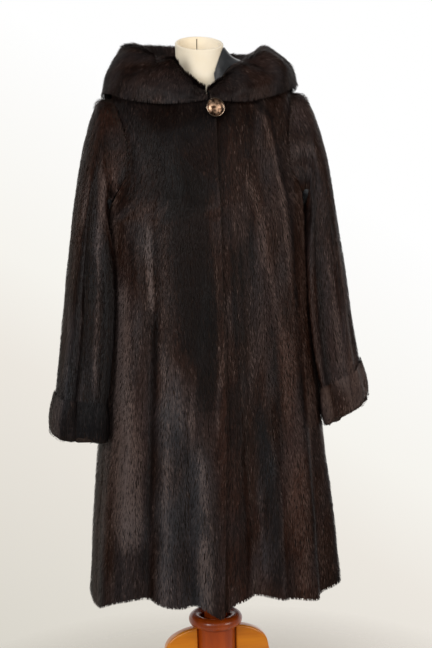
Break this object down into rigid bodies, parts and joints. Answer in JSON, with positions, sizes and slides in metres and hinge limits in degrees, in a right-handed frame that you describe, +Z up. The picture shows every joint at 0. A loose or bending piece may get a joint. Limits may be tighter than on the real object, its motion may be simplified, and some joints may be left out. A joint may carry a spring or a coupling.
{
  "type": "mink fur coat on a dress form with a wooden stand",
  "caption": "Knee-length dark brown mink coat with a wide laid-down hood, turned-up cuffs and a button at the neck, on a limbless cream dress form with a varnished wooden stand.",
  "frame": {"origin": "on the floor, under the middle of the part", "axes": "+Z up, the front of the coat faces -Y, the wearer's left is at +X"},
  "size_m": [0.6908, 0.508, 1.5283],
  "materials": {
    "mink_fur": "glossy dark brown mink, the pile lying down the strips",
    "satin_lining": "blue-grey satin",
    "button_metal": "bronzed, with a polished rim",
    "form_jersey": "cream cotton jersey stretched over a hard shell",
    "varnished_wood": "orange gloss varnish"
  },
  "bodies": {
    "root": {"front_right_upper": "mink_fur", "front_right_lower": "mink_fur", "front_left_upper": "mink_fur", "front_left_lower": "mink_fur", "back_upper": "mink_fur", "back_lower": "mink_fur", "sleeve_right_upper": "mink_fur", "sleeve_right_lower": "mink_fur", "sleeve_left_upper": "mink_fur", "sleeve_left_lower": "mink_fur", "cuff_right": "mink_fur", "cuff_left": "mink_fur", "hood_right": "mink_fur", "hood_left": "mink_fur", "hood_lining": "satin_lining", "button": "button_metal", "form_torso": "form_jersey", "form_neck": "form_jersey", "stand_pole": "varnished_wood", "stand_cap": "varnished_wood", "stand_column": "varnished_wood", "stand_board_right": "varnished_wood", "stand_board_left": "varnished_wood", "stand_board_front": "varnished_wood", "stand_board_back": "varnished_wood"}
  },
  "joints": []
}
